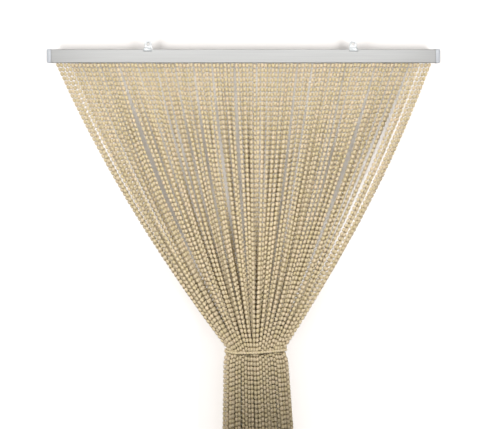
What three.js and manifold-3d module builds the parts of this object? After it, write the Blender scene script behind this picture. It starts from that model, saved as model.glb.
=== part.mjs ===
// Chain fly curtain: a row of bead strands hung from an aluminium rail and gathered by one tied strand.
// Millimetres, +Z up, +X along the rail, -Y towards the viewer.
// The origin is the middle of the flat back face of the rail, which lies on the wall plane.
import * as THREE from 'three';
import { mergeVertices } from 'three/addons/utils/BufferGeometryUtils.js';
import Module from 'manifold-3d';

const wasm = await Module();
wasm.setup();

// Clearance between neighbouring pieces, and the distance within which corners count as one
const GAP = 0.3;
const WELD = 1e-4;

// Rail: an extruded channel, open below, with a step along its top back edge for the hangers
const RAIL_OVERALL = 900;
const RAIL_TOP = 20;
const RAIL_BOTTOM = -10.5;
const RAIL_DEPTH = 18;
const RAIL_WALL = 1.4;
const RAIL_CORNER = 1.5;
const RAIL_SLOT = 9.6;
const STEP_FOOT = 9;
const STEP_DEPTH = 2.1;

// End caps: a block that shows at each end and a spigot inside the channel
const CAP_WIDTH = 10;
const CAP_PROUD = 0.7;
const CAP_CORNER = 3;
const CAP_EDGE = 0.6;
const SPIGOT_LENGTH = 14;
const SPIGOT_FOOT = 4;

// Hangers: a saddle over the top of the rail that carries an upright eye
const HANGER_PLACES = { left: -219, right: 252 };
const HANGER_WIDTH = 19;
const HANGER_WALL = 1.8;
const HANGER_LIP = 5;
const EYE_RISE = 12.4;
const EYE_RADIUS = 8.3;
const EYE_HOLE = 3.4;
const EYE_THICKNESS = 2.6;
const EYE_NECK_ANGLE = -0.3;

// Strands: four-sided, point to point along the row, all of one length
const STRAND_PITCH = 8.6;
const STRAND_WIDTH = 8.15;
const STRAND_LENGTH = 2073;
const HEADER_WIDTH = 13;
const HEADER_THICKNESS = 3;
const HEADER_OVERHANG = 3;

// Waist: where the tie draws the strands into columns, each a few strands deep
const TIE_DROP = 662;
const TIE_GRIP = 5.5;
const TIE_RADIUS = 4;
const TIE_GAP = 0.65;
const TIE_SLOPE = 0.036;
const TIE_STEPS = 72;
const TIE_SIDES = 6;
const WAIST_X = 28;
const WAIST_Y = -43.5;

// Fan: how evenly the strands run inwards, how far each lock draws together and the opening half-way down
const EVEN_SHARE = 0.73;
const BUNCH = 0.27;
const HALFWAY_OPENING = 0.275;

// Columns next to each other stand half a layer apart, and every third lock is layered the other way
const STAGGER = 0.25;
const TURN_EVERY = 3;

// Locks: neighbouring strands that run into one column of the waist, from left to right
// strands is their number, lean is how far the lock swings sideways half-way down
const LOCKS = [
  { strands: 3, lean: 0 },
  { strands: 4, lean: -1 },
  { strands: 5, lean: -2.7 },
  { strands: 5, lean: -2.3 },
  { strands: 5, lean: 3.7 },
  { strands: 5, lean: 1.2 },
  { strands: 5, lean: -0.8 },
  { strands: 5, lean: -0.8 },
  { strands: 5, lean: -1.2 },
  { strands: 6, lean: -1.1 },
  { strands: 6, lean: 1.2 },
  { strands: 6, lean: -0.3 },
  { strands: 5, lean: -2.9 },
  { strands: 4, lean: -2.1 },
  { strands: 5, lean: -0.2 },
  { strands: 4, lean: -2.4 },
  { strands: 4, lean: -1.3 },
  { strands: 4, lean: -3.2 },
  { strands: 5, lean: -0.8 },
  { strands: 4, lean: -3 },
  { strands: 3, lean: 2 },
  { strands: 3, lean: 0.7 },
];

// Levels of the fan, as shares of the way from the header to the waist
const FAN_LEVELS = [0, 0.1, 0.24, 0.4, 0.58, 0.76, 0.9, 1];

// Levels of the tail: drop below the grip of the tie, spacing of the columns and layers,
// shift of the middle to the right, and the share of its own wander that each strand shows
const TAIL_LEVELS = [
  { drop: 0, column: 6.3, shift: 0, layer: 11, wander: 0 },
  { drop: 20, column: 6.8, shift: 0.6, layer: 11.1, wander: 0.3 },
  { drop: 175, column: 7.5, shift: 5.5, layer: 11.3, wander: 1 },
];
const WANDER = { x: 0.6, y: 0.9 };
const GOLDEN = 0.61803398875;

// Body from a geometry, welded so that its faces share corners
function body(geometry) {
  const bare = new THREE.BufferGeometry();
  bare.setAttribute('position', geometry.getAttribute('position'));
  bare.setIndex(geometry.getIndex());
  const welded = mergeVertices(bare, WELD);
  return new wasm.Manifold(new wasm.Mesh({
    numProp: 3,
    vertProperties: Float32Array.from(welded.getAttribute('position').array),
    triVerts: Uint32Array.from(welded.getIndex().array),
  }));
}

// Named mesh from a finished body
function piece(name, solid, finish) {
  const mesh = solid.getMesh();
  const geometry = new THREE.BufferGeometry();
  geometry.setAttribute('position', new THREE.BufferAttribute(Float32Array.from(mesh.vertProperties), 3));
  geometry.setIndex(new THREE.BufferAttribute(Uint32Array.from(mesh.triVerts), 1));
  geometry.computeVertexNormals();
  const result = new THREE.Mesh(geometry, new THREE.MeshStandardMaterial(finish));
  result.name = name;
  return result;
}

// Outline in the depth and height directions, drawn out along the rail from one end to the other
function alongRail(outline, from, to) {
  const geometry = new THREE.ExtrudeGeometry(outline, {
    depth: to - from,
    bevelEnabled: false,
    curveSegments: 4,
  });
  geometry.translate(0, 0, from);
  geometry.rotateY(Math.PI / 2);
  geometry.rotateX(Math.PI / 2);
  return geometry;
}

// Skin over rings of equal point count, each turning right-handed about the way forward,
// joined end to end or closed by a flat face at each end
function loft(rings, joined) {
  const count = rings[0].length;
  const corners = rings.flat().flatMap((point) => point.toArray());
  const faces = [];
  const spans = joined ? rings.length : rings.length - 1;
  for (let row = 0; row < spans; row += 1) {
    const near = row * count;
    const far = ((row + 1) % rings.length) * count;
    for (let k = 0; k < count; k += 1) {
      const next = (k + 1) % count;
      faces.push(near + k, near + next, far + next);
      faces.push(near + k, far + next, far + k);
    }
  }
  if (!joined) {
    const last = (rings.length - 1) * count;
    for (let k = 1; k < count - 1; k += 1) {
      faces.push(0, k + 1, k);
      faces.push(last, last + k, last + k + 1);
    }
  }
  const geometry = new THREE.BufferGeometry();
  geometry.setAttribute('position', new THREE.Float32BufferAttribute(corners, 3));
  geometry.setIndex(faces);
  return geometry;
}

// Rail
function makeRail() {
  const front = -RAIL_DEPTH;
  const slotFront = (-RAIL_DEPTH - RAIL_SLOT) / 2;
  const slotBack = (-RAIL_DEPTH + RAIL_SLOT) / 2;
  const floor = RAIL_BOTTOM + RAIL_WALL;
  const stepInside = -STEP_DEPTH - RAIL_WALL;
  const r = RAIL_CORNER;
  const outline = new THREE.Shape();
  outline.moveTo(slotFront, RAIL_BOTTOM);
  outline.absarc(front + r, RAIL_BOTTOM + r, r, 1.5 * Math.PI, Math.PI, true);
  outline.absarc(front + r, RAIL_TOP - r, r, Math.PI, 0.5 * Math.PI, true);
  outline.absarc(-STEP_DEPTH - r, RAIL_TOP - r, r, 0.5 * Math.PI, 0, true);
  outline.lineTo(-STEP_DEPTH, STEP_FOOT);
  outline.lineTo(0, STEP_FOOT);
  outline.absarc(-r, RAIL_BOTTOM + r, r, 0, -0.5 * Math.PI, true);
  outline.lineTo(slotBack, RAIL_BOTTOM);
  outline.lineTo(slotBack, floor);
  outline.lineTo(-RAIL_WALL, floor);
  outline.lineTo(-RAIL_WALL, STEP_FOOT - RAIL_WALL);
  outline.lineTo(stepInside, STEP_FOOT - RAIL_WALL);
  outline.lineTo(stepInside, RAIL_TOP - RAIL_WALL);
  outline.lineTo(front + RAIL_WALL, RAIL_TOP - RAIL_WALL);
  outline.lineTo(front + RAIL_WALL, floor);
  outline.lineTo(slotFront, floor);
  outline.closePath();
  const end = RAIL_OVERALL / 2 - CAP_WIDTH - GAP;
  return piece('rail', body(alongRail(outline, -end, end)), { color: '#c9cacb', metalness: 1, roughness: 0.4 });
}

// End caps
function makeCap(name, side) {
  const inner = RAIL_OVERALL / 2 - CAP_WIDTH;
  const outer = RAIL_OVERALL / 2;
  const foot = RAIL_BOTTOM - CAP_PROUD;
  const top = RAIL_TOP + CAP_PROUD;
  const r = CAP_CORNER;
  const outline = new THREE.Shape();
  outline.moveTo(inner + CAP_EDGE, foot + CAP_EDGE);
  outline.absarc(outer - r, foot + r, r - CAP_EDGE, 1.5 * Math.PI, 2 * Math.PI, false);
  outline.absarc(outer - r, top - r, r - CAP_EDGE, 0, 0.5 * Math.PI, false);
  outline.lineTo(inner + CAP_EDGE, top - CAP_EDGE);
  outline.closePath();
  const block = new THREE.ExtrudeGeometry(outline, {
    depth: RAIL_DEPTH + CAP_PROUD - GAP - 2 * CAP_EDGE,
    bevelEnabled: true,
    bevelSize: CAP_EDGE,
    bevelThickness: CAP_EDGE,
    bevelSegments: 2,
    curveSegments: 5,
  });
  block.rotateX(Math.PI / 2);
  block.translate(0, -GAP - CAP_EDGE, 0);
  const channelFront = -RAIL_DEPTH + RAIL_WALL + GAP;
  const channelBack = -STEP_DEPTH - RAIL_WALL - GAP;
  const channelTop = RAIL_TOP - RAIL_WALL - GAP;
  const reach = SPIGOT_LENGTH + CAP_WIDTH / 2;
  const spigot = new THREE.BoxGeometry(reach, channelBack - channelFront, channelTop - SPIGOT_FOOT);
  spigot.translate(
    inner + CAP_WIDTH / 2 - reach / 2,
    (channelBack + channelFront) / 2,
    (channelTop + SPIGOT_FOOT) / 2,
  );
  const cap = body(block).add(body(spigot));
  const placed = side < 0 ? cap.mirror([1, 0, 0]) : cap;
  return piece(name, placed, { color: '#dfe2e6', metalness: 0, roughness: 0.5 });
}

// Hangers
function makeHanger(name, place) {
  const plateFoot = RAIL_TOP + GAP;
  const plateTop = plateFoot + HANGER_WALL;
  const lipInside = -RAIL_DEPTH - GAP;
  const lipFront = lipInside - HANGER_WALL;
  const saddle = new THREE.Shape();
  saddle.moveTo(0, STEP_FOOT + GAP);
  saddle.lineTo(0, plateTop);
  saddle.lineTo(lipFront, plateTop);
  saddle.lineTo(lipFront, RAIL_TOP - HANGER_LIP);
  saddle.lineTo(lipInside, RAIL_TOP - HANGER_LIP);
  saddle.lineTo(lipInside, plateFoot);
  saddle.lineTo(-HANGER_WALL, plateFoot);
  saddle.lineTo(-HANGER_WALL, STEP_FOOT + GAP);
  saddle.closePath();
  const eyeHeight = RAIL_TOP + EYE_RISE;
  const eye = new THREE.Shape();
  eye.moveTo(-HANGER_WIDTH / 2, plateFoot);
  eye.lineTo(HANGER_WIDTH / 2, plateFoot);
  eye.lineTo(HANGER_WIDTH / 2, plateTop);
  eye.absarc(0, eyeHeight, EYE_RADIUS, EYE_NECK_ANGLE, Math.PI - EYE_NECK_ANGLE, false);
  eye.lineTo(-HANGER_WIDTH / 2, plateTop);
  eye.closePath();
  const hole = new THREE.Path();
  hole.absarc(0, eyeHeight, EYE_HOLE, 0, 2 * Math.PI, true);
  eye.holes.push(hole);
  const tab = new THREE.ExtrudeGeometry(eye, { depth: EYE_THICKNESS, bevelEnabled: false, curveSegments: 14 });
  tab.rotateX(Math.PI / 2);
  tab.translate(place, 0, 0);
  const clip = alongRail(saddle, place - HANGER_WIDTH / 2, place + HANGER_WIDTH / 2);
  return piece(name, body(clip).add(body(tab)), { color: '#eef0f0', metalness: 0, roughness: 0.35 });
}

// Share of the way across to the waist at share t of the way down
function gather(t) {
  return EVEN_SHARE * t + (1 - EVEN_SHARE) * t * t;
}

// Share of the way out to the final depth, always ahead of the sideways share
function deepen(t) {
  return Math.sin(0.5 * Math.PI * t);
}

// How far the locks stand open, nothing at the header and at the waist
function opening(t) {
  return 2 * (1 - t) * (deepen(t) - gather(t));
}

// Order in which the strands of a lock of n take their layers, neighbours being apart
function layerOf(k, n) {
  return k % 2 === 0 ? Math.floor(n / 2) + k / 2 : (k - 1) / 2;
}

// Value of one column of the tail table at a drop below the grip
function tailValue(field, drop) {
  const above = TAIL_LEVELS.findLast((level) => level.drop <= drop);
  const below = TAIL_LEVELS.find((level) => level.drop > drop) ?? above;
  const span = below.drop - above.drop;
  const share = span > 0 ? (drop - above.drop) / span : 0;
  return THREE.MathUtils.lerp(above[field], below[field], share);
}

// Every strand with its place on the header, its lock, column and layer
function layOut() {
  const total = LOCKS.reduce((sum, lock) => sum + lock.strands, 0);
  const middle = (total - 1) / 2;
  const strands = [];
  LOCKS.forEach((lock, column) => {
    const first = strands.length;
    const lockX = (first + (lock.strands - 1) / 2 - middle) * STRAND_PITCH;
    const turned = column % TURN_EVERY === 1;
    const stagger = (column + lock.strands) % 2 === 1 ? STAGGER : -STAGGER;
    for (let k = 0; k < lock.strands; k += 1) {
      const order = layerOf(k, lock.strands);
      const layer = turned ? lock.strands - 1 - order : order;
      const index = first + k;
      strands.push({
        lockX,
        lean: lock.lean,
        offset: (index - middle) * STRAND_PITCH - lockX,
        column: column - (LOCKS.length - 1) / 2,
        layer: layer - (lock.strands - 1) / 2 + stagger,
        wanderX: WANDER.x * (2 * ((index * GOLDEN) % 1) - 1),
        wanderY: WANDER.y * (2 * ((index * GOLDEN * GOLDEN) % 1) - 1),
      });
    }
  });
  return strands;
}

const ROW_Y = -RAIL_DEPTH / 2;
const HEADER_FOOT = RAIL_BOTTOM + RAIL_WALL + GAP;
const ROOT_Z = HEADER_FOOT + HEADER_THICKNESS / 2;
const TIE_Z = RAIL_BOTTOM - TIE_DROP;
const FAN_FOOT = TIE_Z + TIE_GRIP;
const GRIP_FOOT = TIE_Z - TIE_GRIP;

// Middle of a strand in the waist or below it
function tailPoint(strand, drop) {
  const wander = tailValue('wander', drop);
  return new THREE.Vector3(
    WAIST_X + tailValue('shift', drop) + strand.column * tailValue('column', drop) + wander * strand.wanderX,
    WAIST_Y + strand.layer * tailValue('layer', drop) + wander * strand.wanderY,
    GRIP_FOOT - drop,
  );
}

// Middle of a strand between the header and the waist
function fanPoint(strand, t) {
  const waist = tailPoint(strand, 0);
  const drawn = gather(t) + BUNCH * opening(t);
  const sway = strand.lean * opening(t) / HALFWAY_OPENING;
  return new THREE.Vector3(
    THREE.MathUtils.lerp(strand.lockX, waist.x, gather(t)) + strand.offset * (1 - drawn) + sway,
    THREE.MathUtils.lerp(ROW_Y, waist.y, deepen(t)),
    THREE.MathUtils.lerp(ROOT_Z, FAN_FOOT, t),
  );
}

// Middle line of a strand from its root to its free end
function strandLine(strand) {
  const line = FAN_LEVELS.map((t) => fanPoint(strand, t));
  TAIL_LEVELS.forEach((level) => line.push(tailPoint(strand, level.drop)));
  let used = 0;
  for (let k = 1; k < line.length; k += 1) {
    used += line[k].distanceTo(line[k - 1]);
  }
  const end = line.at(-1).clone();
  end.z -= STRAND_LENGTH - used;
  line.push(end);
  return line;
}

// Four corners of a level section, pointing along and across the row
function diamond(centre) {
  const reach = STRAND_WIDTH / 2;
  return [[reach, 0], [0, -reach], [-reach, 0], [0, reach]].map(
    ([x, y]) => new THREE.Vector3(centre.x + x, centre.y + y, centre.z),
  );
}

// Curtain: the header strip inside the rail with every strand fused to it
function makeCurtain(strands) {
  const reach = (strands.length - 1) * STRAND_PITCH + STRAND_WIDTH + 2 * HEADER_OVERHANG;
  const header = new THREE.BoxGeometry(reach, HEADER_WIDTH, HEADER_THICKNESS);
  header.translate(0, ROW_Y, ROOT_Z);
  const bodies = strands.map((strand) => body(loft(strandLine(strand).map(diamond), false)));
  const curtain = wasm.Manifold.union([body(header), ...bodies]);
  return piece('curtain', curtain, { color: '#d9c49c', metalness: 0, roughness: 0.5 });
}

// Tie: one strand laid round the waist, following the outermost strands
function makeTie(strands) {
  const corners = strands.flatMap((strand) => diamond(tailPoint(strand, 0)));
  const reach = TIE_GAP + TIE_RADIUS;
  const rings = [];
  for (let step = 0; step < TIE_STEPS; step += 1) {
    const turn = 2 * Math.PI * step / TIE_STEPS;
    const out = new THREE.Vector3(Math.cos(turn), Math.sin(turn), 0);
    const corner = corners.reduce((best, next) => (next.dot(out) > best.dot(out) ? next : best));
    const centre = corner.clone().addScaledVector(out, reach);
    centre.z = TIE_Z + TIE_SLOPE * (centre.x - WAIST_X);
    const ring = [];
    for (let side = 0; side < TIE_SIDES; side += 1) {
      const angle = 2 * Math.PI * side / TIE_SIDES;
      const point = centre.clone().addScaledVector(out, TIE_RADIUS * Math.cos(angle));
      point.z -= TIE_RADIUS * Math.sin(angle);
      ring.push(point);
    }
    rings.push(ring);
  }
  return piece('tie', body(loft(rings, true)), { color: '#d4bd92', metalness: 0, roughness: 0.5 });
}

const strands = layOut();
const group = new THREE.Group();
group.name = 'chain_fly_curtain';
group.add(
  makeRail(),
  makeCap('end_cap_left', -1),
  makeCap('end_cap_right', 1),
  makeHanger('hanger_left', HANGER_PLACES.left),
  makeHanger('hanger_right', HANGER_PLACES.right),
  makeCurtain(strands),
  makeTie(strands),
);

export default group;
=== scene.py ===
"""Looks of a chain fly curtain: bead strands on an aluminium rail, gathered by one tied strand.

Sizes are millimetres and meshes are metres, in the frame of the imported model: +Z up, +X along the rail,
-Y towards the viewer, and the origin in the middle of the rail's flat back face.
"""
import logging
import math
import random
from dataclasses import dataclass
from enum import Enum
from functools import cache, partial
from typing import Any, ClassVar, Sequence

import bmesh
import bpy
from bpy.types import Collection, Material, Mesh, Node, NodeTree, Object
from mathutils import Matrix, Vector


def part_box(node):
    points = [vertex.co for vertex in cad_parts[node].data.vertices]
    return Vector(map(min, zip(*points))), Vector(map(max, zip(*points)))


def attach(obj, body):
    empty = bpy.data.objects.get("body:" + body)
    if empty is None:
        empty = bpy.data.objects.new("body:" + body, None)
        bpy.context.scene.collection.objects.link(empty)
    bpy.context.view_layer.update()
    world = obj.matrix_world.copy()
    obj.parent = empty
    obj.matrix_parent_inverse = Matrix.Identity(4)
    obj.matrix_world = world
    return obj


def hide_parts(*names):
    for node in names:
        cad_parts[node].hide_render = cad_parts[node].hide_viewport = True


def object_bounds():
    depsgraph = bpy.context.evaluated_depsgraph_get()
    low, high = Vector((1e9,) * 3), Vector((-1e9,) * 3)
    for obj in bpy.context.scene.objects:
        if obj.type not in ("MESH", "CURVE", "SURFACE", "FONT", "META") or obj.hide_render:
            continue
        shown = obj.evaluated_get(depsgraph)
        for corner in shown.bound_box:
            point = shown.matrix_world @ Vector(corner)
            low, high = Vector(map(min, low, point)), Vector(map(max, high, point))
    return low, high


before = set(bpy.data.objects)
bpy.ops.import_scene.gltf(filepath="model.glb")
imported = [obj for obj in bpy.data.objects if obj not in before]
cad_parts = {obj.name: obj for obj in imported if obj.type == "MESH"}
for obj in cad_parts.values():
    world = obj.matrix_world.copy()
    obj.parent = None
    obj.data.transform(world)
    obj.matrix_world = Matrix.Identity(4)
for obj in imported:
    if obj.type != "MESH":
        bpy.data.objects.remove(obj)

CAD_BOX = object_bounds()
BODY = "root"
MM = 0.001
GOLDEN = 0.61803398875
LOG = logging.getLogger("chain_fly_curtain")

Point = Sequence[float]
Outline = list[tuple[float, float]]
Feed = tuple[Node, str]


class Slot(Enum):
    """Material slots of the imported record."""

    METAL = "anodised_aluminium"
    CAP = "pale_grey_plastic"
    HANGER = "milky_plastic"
    BEAD = "beige_bead_plastic"


class Side(Enum):
    """Ends of the rail."""

    LEFT = "left"
    RIGHT = "right"


class Lit(Enum):
    """What a lamp shines on: the curtain alone, or one piece of the stage alone."""

    CURTAIN = "curtain"
    WALL = "studio_wall"
    FLOOR = "studio_floor"


class Mark(Enum):
    """Attributes that the beads carry for their finish."""

    TINT = "bead_tint"
    STRAND = "strand_tint"
    STRETCH = "strand_stretch"
    END = "bead_end"


# Small helpers


def linear(colour: str) -> tuple[float, float, float, float]:
    """Turns an sRGB hex colour into linear RGBA.

    Args:
        colour: Six hex digits after a hash sign.

    Returns:
        Linear red, green and blue, and full opacity.
    """
    shares = [int(colour[k : k + 2], 16) / 255 for k in (1, 3, 5)]
    red, green, blue = (s / 12.92 if s <= 0.04045 else ((s + 0.055) / 1.055) ** 2.4 for s in shares)
    return red, green, blue, 1.0


def add_node(tree: NodeTree, kind: str, feeds: dict[str, Any] | None = None, **settings: Any) -> Node:
    """Adds a node with its settings and links.

    Args:
        tree: Shader or geometry tree that takes the node.
        kind: Blender's type name of the node.
        feeds: Input identifier to a value, or to a pair of a node and its output's identifier.
        settings: Properties of the node itself.

    Returns:
        The new node.
    """
    node = tree.nodes.new(kind)
    for name, value in settings.items():
        setattr(node, name, value)
    sockets = {socket.identifier: socket for socket in node.inputs}
    for name, value in (feeds or {}).items():
        if isinstance(value, tuple) and isinstance(value[0], Node):
            source = {socket.identifier: socket for socket in value[0].outputs}[value[1]]
            tree.links.new(source, sockets[name])
        else:
            sockets[name].default_value = value
    return node


@cache
def node_box(name: str) -> tuple[Vector, Vector]:
    """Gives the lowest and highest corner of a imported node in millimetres."""
    low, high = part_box(name)
    return low / MM, high / MM


def lerp(start: float, end: float, share: float) -> float:
    """Goes a share of the way from start to end."""
    return start + (end - start) * share


def scatter(index: int, ratio: float) -> float:
    """Gives an even scatter from -1 to 1 over whole numbers, by an irrational ratio."""
    return 2 * (index * ratio % 1) - 1


def length(line: Sequence[Vector]) -> float:
    """Measures a line through its points."""
    return sum((after - before).length for before, after in zip(line, line[1:]))


def arc(centre: Point, radius: float, start: float, end: float, steps: int) -> Outline:
    """Draws a round stretch of an outline.

    Args:
        centre: Middle of the arc.
        radius: Its radius.
        start: Angle of its first point in degrees.
        end: Angle of its last point in degrees.
        steps: Number of straight steps.

    Returns:
        The points from start to end.
    """
    x, y = centre
    turns = [math.radians(lerp(start, end, k / steps)) for k in range(steps + 1)]
    return [(x + radius * math.cos(turn), y + radius * math.sin(turn)) for turn in turns]


def straight(start: Point, end: Point, steps: int) -> Outline:
    """Draws a straight stretch of an outline.

    Args:
        start: Point before the stretch.
        end: Its last point.
        steps: Number of steps.

    Returns:
        The points after start.
    """
    shares = [k / steps for k in range(1, steps + 1)]
    return [(lerp(start[0], end[0], share), lerp(start[1], end[1], share)) for share in shares]


def link_mesh(name: str, mesh: Mesh) -> Object:
    """Makes a named object of a mesh at the origin and links it to the scene."""
    piece = bpy.data.objects.new(name, mesh)
    bpy.context.scene.collection.objects.link(piece)
    return piece


def new_object(name: str, points: Sequence[Point], faces: Sequence = (), edges: Sequence = ()) -> Object:
    """Makes a mesh object from its corners.

    Args:
        name: Name of the piece.
        points: Corners in millimetres.
        faces: Rings of corner numbers, anticlockwise as seen from outside.
        edges: Pairs of corner numbers, for a mesh of lines.

    Returns:
        The object, linked to the scene.
    """
    mesh = bpy.data.meshes.new(name)
    mesh.from_pydata([Vector(point) * MM for point in points], edges, faces)
    return link_mesh(name, mesh)


def loft(name: str, rings: Sequence[Sequence[Point]], joined: bool = False) -> Object:
    """Makes a skin over rings of equal point count.

    Args:
        name: Name of the piece.
        rings: Rings in order, each turning right-handed about the way forward.
        joined: Whether the last ring meets the first, or both ends are closed by a face.

    Returns:
        The closed mesh object.
    """
    count = len(rings[0])
    faces = []
    for row in range(len(rings) if joined else len(rings) - 1):
        near = row * count
        far = (row + 1) % len(rings) * count
        for k in range(count):
            after = (k + 1) % count
            faces.append((near + k, near + after, far + after, far + k))
    if not joined:
        last = (len(rings) - 1) * count
        faces.append(tuple(reversed(range(count))))
        faces.append(tuple(range(last, last + count)))
    return new_object(name, [point for ring in rings for point in ring], faces)


def box_piece(name: str, low: Point, high: Point) -> Object:
    """Makes a box between its lowest and its highest corner."""
    ring = [(low[0], low[1]), (high[0], low[1]), (high[0], high[1]), (low[0], high[1])]
    return loft(name, [[(x, y, z) for x, y in ring] for z in (low[2], high[2])])


def make_plain(piece: Object) -> None:
    """Turns what a piece's modifiers give into its own mesh and drops the modifiers.

    Args:
        piece: Mesh object with modifiers.
    """
    graph = bpy.context.evaluated_depsgraph_get()
    made = piece.evaluated_get(graph)
    mesh = bpy.data.meshes.new_from_object(made, preserve_all_data_layers=True, depsgraph=graph)
    piece.modifiers.clear()
    piece.data = mesh


def round_edges(piece: Object, width: float, segments: int = 3, least_turn: float = 40) -> None:
    """Rounds the sharp edges of a piece.

    Args:
        piece: Closed mesh object.
        width: Width of the rounding in millimetres.
        segments: Steps across it.
        least_turn: Angle in degrees from which an edge is rounded.
    """
    bevel = piece.modifiers.new("rounding", "BEVEL")
    bevel.width = width * MM
    bevel.segments = segments
    bevel.limit_method = "ANGLE"
    bevel.angle_limit = math.radians(least_turn)
    make_plain(piece)


def join(name: str, parts: Sequence[Object]) -> Object:
    """Makes one piece of several closed meshes.

    Args:
        name: Name of the piece.
        parts: Mesh objects, which are used up.

    Returns:
        The joined object.
    """
    made = bmesh.new()
    for part in parts:
        made.from_mesh(part.data)
        bpy.data.objects.remove(part)
    mesh = bpy.data.meshes.new(name)
    made.to_mesh(mesh)
    made.free()
    return link_mesh(name, mesh)


def dress(piece: Object, finish: Material, crease: float = 35) -> None:
    """Shades a piece smooth but for its creases, and gives it its finish.

    Args:
        piece: Mesh object.
        finish: Material of the whole piece.
        crease: Angle in degrees past which an edge stays sharp.
    """
    piece.data.shade_smooth()
    piece.data.set_sharp_from_angle(angle=math.radians(crease))
    piece.data.materials.append(finish)


def fit(piece: Object, slot: Slot, *nodes: str) -> None:
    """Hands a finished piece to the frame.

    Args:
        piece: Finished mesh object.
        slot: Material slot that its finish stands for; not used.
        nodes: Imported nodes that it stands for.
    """
    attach(piece, BODY)
    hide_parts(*nodes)
    LOG.info("%s: %d faces, for %s", piece.name, len(piece.data.polygons), ", ".join(nodes))


# Finishes


@dataclass(frozen=True, kw_only=True)
class Finish:
    """A material with one even base, to which each kind adds its own pattern and a fine grain."""

    name: str
    colour: str
    roughness: float
    roughness_spread: float
    grain_depth: float
    grain_strength: float
    grain_detail: float
    ior: float = 1.5
    metallic: float = 0.0

    def material(self) -> Material:
        """Makes the material with the base values on the shader's own sockets.

        Returns:
            The material.
        """
        made = bpy.data.materials.new(self.name)
        made.use_nodes = True
        shader = made.node_tree.nodes["Principled BSDF"]
        shader.inputs["Base Color"].default_value = linear(self.colour)
        shader.inputs["Roughness"].default_value = self.roughness
        shader.inputs["IOR"].default_value = self.ior
        shader.inputs["Metallic"].default_value = self.metallic
        self.pattern(made.node_tree, shader)
        return made

    def pattern(self, tree: NodeTree, shader: Node) -> None:
        """Adds what varies over the surface."""
        raise NotImplementedError

    def cover(self, tree: NodeTree, shader: Node, colour: Node, grain: Node) -> None:
        """Lays the mixed colour on the shader, and lets the grain vary its gloss and raise it.

        Args:
            tree: Tree of the material.
            shader: Shader of the material.
            colour: Node that mixes the colour.
            grain: Noise of the grain.
        """
        add = partial(add_node, tree)
        rough = add(
            "ShaderNodeMapRange",
            {
                "Value": (grain, "Fac"),
                "To Min": self.roughness - self.roughness_spread,
                "To Max": self.roughness + self.roughness_spread,
            },
        )
        bump = add(
            "ShaderNodeBump",
            {"Height": (grain, "Fac"), "Strength": self.grain_strength, "Distance": self.grain_depth * MM},
        )
        tree.links.new(colour.outputs["Result"], shader.inputs["Base Color"])
        tree.links.new(rough.outputs["Result"], shader.inputs["Roughness"])
        tree.links.new(bump.outputs["Normal"], shader.inputs["Normal"])


@dataclass(frozen=True, kw_only=True)
class MouldedBeads(Finish):
    """Satin moulded polypropylene beads, which gives soft broad lights and many near shades of beige.

    The real grain of about 0.1 mm is drawn coarser so that it shows.
    """

    shades: tuple[str, ...]
    patch_size: float = 30.0
    patch_detail: float = 1.0
    patch_share: float = 0.5
    batch_spread: float = 0.06
    # Colour, strength and start of the painted shade at each bead's ends, where beads meet
    painted_end_shade_colour: str = "#7d5d30"
    painted_end_shade_share: float = 0.32
    painted_end_shade_start: float = 0.55
    grain_size: float = 1.2
    grain_depth: float = 0.05
    grain_strength: float = 0.5
    grain_detail: float = 2.0
    roughness_spread: float = 0.08
    diffuse_roughness: float = 0.2

    def pattern(self, tree: NodeTree, shader: Node) -> None:
        """Gives each bead its own shade, painted shade at its ends where it meets the next bead, and a fine
        moulded grain.

        Args:
            tree: Tree of the material.
            shader: Shader of the material.
        """
        add = partial(add_node, tree)
        shader.inputs["Diffuse Roughness"].default_value = self.diffuse_roughness
        place = add("ShaderNodeTexCoord")
        tint, strand, end = (
            add("ShaderNodeAttribute", attribute_name=mark.value)
            for mark in (Mark.TINT, Mark.STRAND, Mark.END)
        )
        patches, grain = (
            add(
                "ShaderNodeTexNoise",
                {"Vector": (place, "Object"), "Scale": 1 / (size * MM), "Detail": detail},
            )
            for size, detail in ((self.patch_size, self.patch_detail), (self.grain_size, self.grain_detail))
        )
        # Beads of one shade lie together in patches
        mixed = add(
            "ShaderNodeMix",
            {"Factor_Float": self.patch_share, "A_Float": (tint, "Fac"), "B_Float": (patches, "Fac")},
            data_type="FLOAT",
        )
        shades = add("ShaderNodeValToRGB", {"Fac": (mixed, "Result_Float")})
        ramp = shades.color_ramp
        while len(ramp.elements) < len(self.shades):
            ramp.elements.new(0.5)
        for k, shade in enumerate(self.shades):
            ramp.elements[k].position = k / (len(self.shades) - 1)
            ramp.elements[k].color = linear(shade)
        # Each strand is of one batch, a little lighter or darker than the next
        batch = add(
            "ShaderNodeMapRange",
            {"Value": (strand, "Fac"), "To Min": 1 - self.batch_spread, "To Max": 1 + self.batch_spread},
        )
        shaded = add(
            "ShaderNodeMix",
            {"Factor_Float": 1.0, "A_Color": (shades, "Color"), "B_Color": (batch, "Result")},
            data_type="RGBA",
            blend_type="MULTIPLY",
        )
        # Painted shade: each bead darkens towards its ends, in the crease where it meets the next bead
        painted_end_shade = add(
            "ShaderNodeMapRange",
            {"Value": (end, "Fac"), "From Min": self.painted_end_shade_start, "From Max": 1.0, "To Max": self.painted_end_shade_share},
        )
        colour = add(
            "ShaderNodeMix",
            {
                "Factor_Float": (painted_end_shade, "Result"),
                "A_Color": (shaded, "Result_Color"),
                "B_Color": linear(self.painted_end_shade_colour),
            },
            data_type="RGBA",
        )
        self.cover(tree, shader, colour, grain)


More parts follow.
